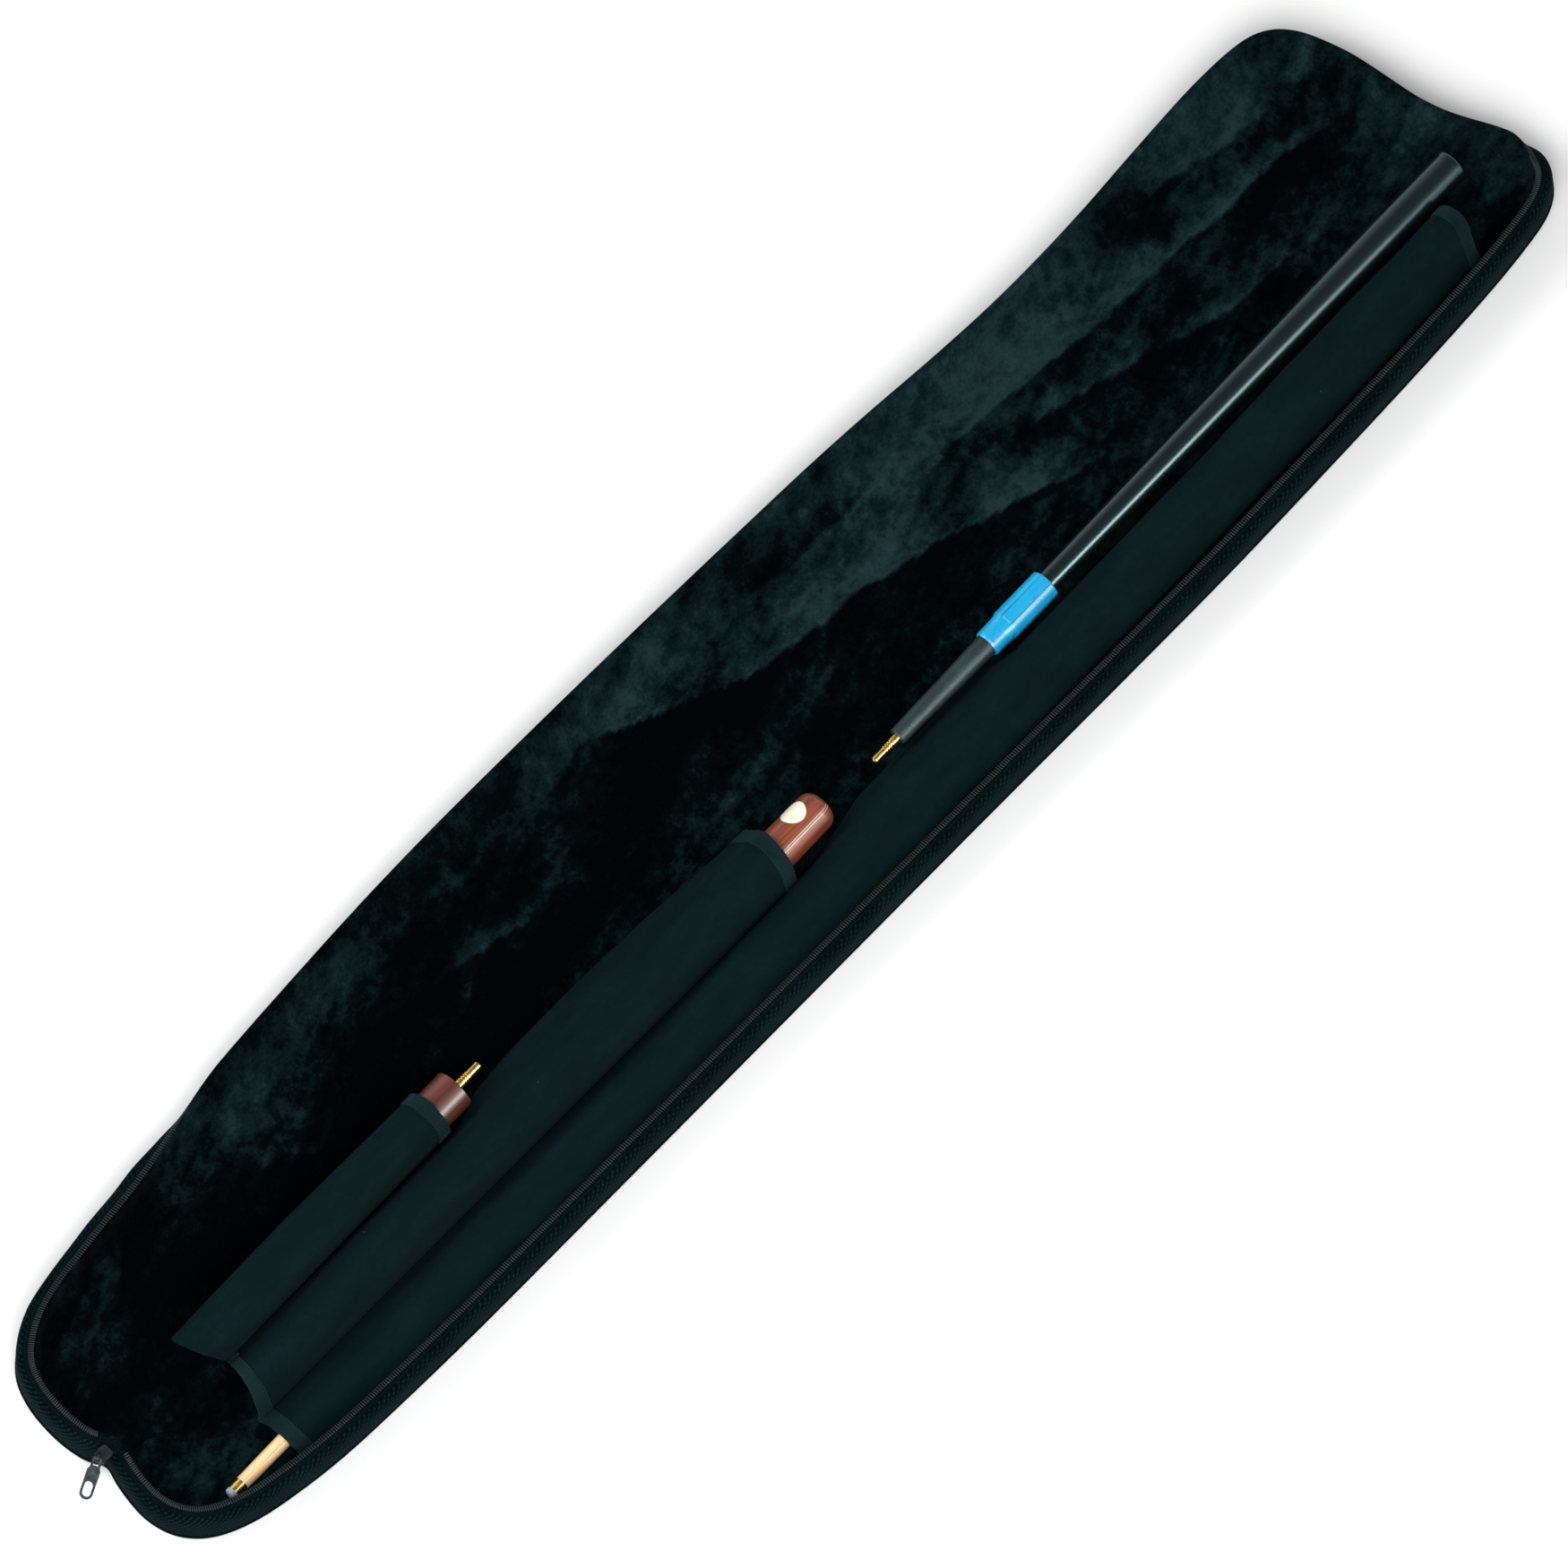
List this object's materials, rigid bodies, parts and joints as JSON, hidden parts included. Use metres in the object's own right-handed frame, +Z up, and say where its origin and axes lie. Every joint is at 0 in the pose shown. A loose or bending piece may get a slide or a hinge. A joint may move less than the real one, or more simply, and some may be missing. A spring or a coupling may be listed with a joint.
{
  "type": "padded cue case",
  "caption": "Soft padded case for a jointed cue, lying open on its fabric spine, with sewn sleeves holding a shaft, butt, mini butt and a telescopic extension.",
  "frame": {"origin": "centre of the open case's footprint, on the surface it lies on", "axes": "+X along the case from the zip slider end to the top end, +Y across to the empty lid half, +Z up"},
  "size_m": [1.2616, 0.24, 0.0404],
  "materials": {
    "outer_fabric": "black polyester canvas",
    "foam": "closed-cell foam, hidden",
    "plush": "soft dark plush with a crushed pile",
    "wall_twill": "ribbed twill band",
    "zip_tape": "woven zip tape",
    "zip_coil": "nylon coil",
    "sleeve_knit": "smooth brushed knit",
    "hem_tape": "grosgrain binding tape",
    "ash_wood": "varnished ash with open grain",
    "brass": "polished brass",
    "tip_leather": "chalked leather",
    "butt_hardwood": "varnished red-brown hardwood with dark streaks",
    "veneer": "pale veneer lines",
    "badge_inlay": "plain cream disc",
    "mini_hardwood": "varnished dark red hardwood",
    "bumper_rubber": "black rubber",
    "tube_black": "gloss black tapered tube",
    "grip_grain": "black with a fine grain",
    "collar_blue": "bright blue ribbed moulding",
    "inner_aluminium": "drawn tube",
    "bush_nylon": "natural nylon",
    "slider_metal": "black enamelled zinc",
    "pull_metal": "grey enamelled zinc"
  },
  "bodies": {
    "base": {"base_cover": "outer_fabric", "base_foam_pad": "foam", "base_plush_lining": "plush", "base_padded_wall": "wall_twill", "base_wall_lining": "plush", "base_zip_tape": "zip_tape", "base_zip_coil": "zip_coil", "spine_cover_strip": "outer_fabric", "spine_plush_strip": "plush", "spine_end_tabs": "wall_twill", "shaft_sleeve": "sleeve_knit", "butt_sleeve": "sleeve_knit", "mini_butt_sleeve": "sleeve_knit", "shaft_sleeve_top_hem": "hem_tape", "shaft_sleeve_bottom_hem": "hem_tape", "butt_sleeve_top_hem": "hem_tape", "butt_sleeve_bottom_hem": "hem_tape", "mini_butt_sleeve_hem": "hem_tape", "zip_slider_body": "slider_metal", "zip_top_stops": "slider_metal"},
    "lid": {"lid_cover": "outer_fabric", "lid_foam_pad": "foam", "lid_plush_lining": "plush", "lid_padded_wall": "wall_twill", "lid_wall_lining": "plush", "lid_zip_tape": "zip_tape", "lid_zip_coil": "zip_coil"},
    "pull_tab": {"zip_pull_tab": "pull_metal"},
    "shaft": {"shaft_wood": "ash_wood", "shaft_ferrule": "brass", "shaft_leather_tip": "tip_leather", "shaft_joint_collar": "brass"},
    "butt": {"butt_wood": "butt_hardwood", "butt_badge": "badge_inlay", "butt_veneer_lines": "veneer", "butt_end_insert": "brass", "butt_joint_collar": "brass", "butt_joint_pin": "brass"},
    "mini_butt": {"mini_butt_wood": "mini_hardwood", "mini_butt_bumper": "bumper_rubber", "mini_butt_pin": "brass"},
    "extension": {"extension_outer_tube": "tube_black", "extension_end_cap": "bumper_rubber", "extension_collet": "bush_nylon"},
    "extension_inner": {"extension_pin": "brass", "extension_grip": "grip_grain", "extension_inner_tube": "inner_aluminium", "extension_guide_bush": "bush_nylon"},
    "twist_collar": {"extension_collar": "collar_blue"}
  },
  "joints": [
    {"name": "lid_fold", "type": "hinge", "parent": "base", "child": "lid", "pos_m": [0, 0, 0.03], "axis": [-1, 0, 0], "range_deg": [-179.5, 0]},
    {"name": "pull_swing", "type": "hinge", "parent": "base", "child": "pull_tab", "pos_m": [-0.6085, 0, 0.033], "axis": [-0.342, 0.9397, 0], "range_deg": [0, 200]},
    {"name": "shaft_slide", "type": "slide", "parent": "base", "child": "shaft", "axis": [1, 0, 0.0068], "range_m": [-0.025, 0.115]},
    {"name": "butt_slide", "type": "slide", "parent": "base", "child": "butt", "axis": [1, 0, 0], "range_m": [0, 0.038]},
    {"name": "mini_butt_slide", "type": "slide", "parent": "base", "child": "mini_butt", "axis": [1, 0, 0], "range_m": [0, 0.15]},
    {"name": "extension_lift", "type": "slide", "parent": "base", "child": "extension", "axis": [0, 0, 1], "range_m": [0, 0.12]},
    {"name": "extension_telescope", "type": "slide", "parent": "extension", "child": "extension_inner", "axis": [1, 0, 0], "range_m": [-0.038, 0]},
    {"name": "collar_twist", "type": "hinge", "parent": "extension", "child": "twist_collar", "pos_m": [0.1985, -0.043, 0.0196], "axis": [1, 0, 0], "range_deg": [0, 90]}
  ]
}
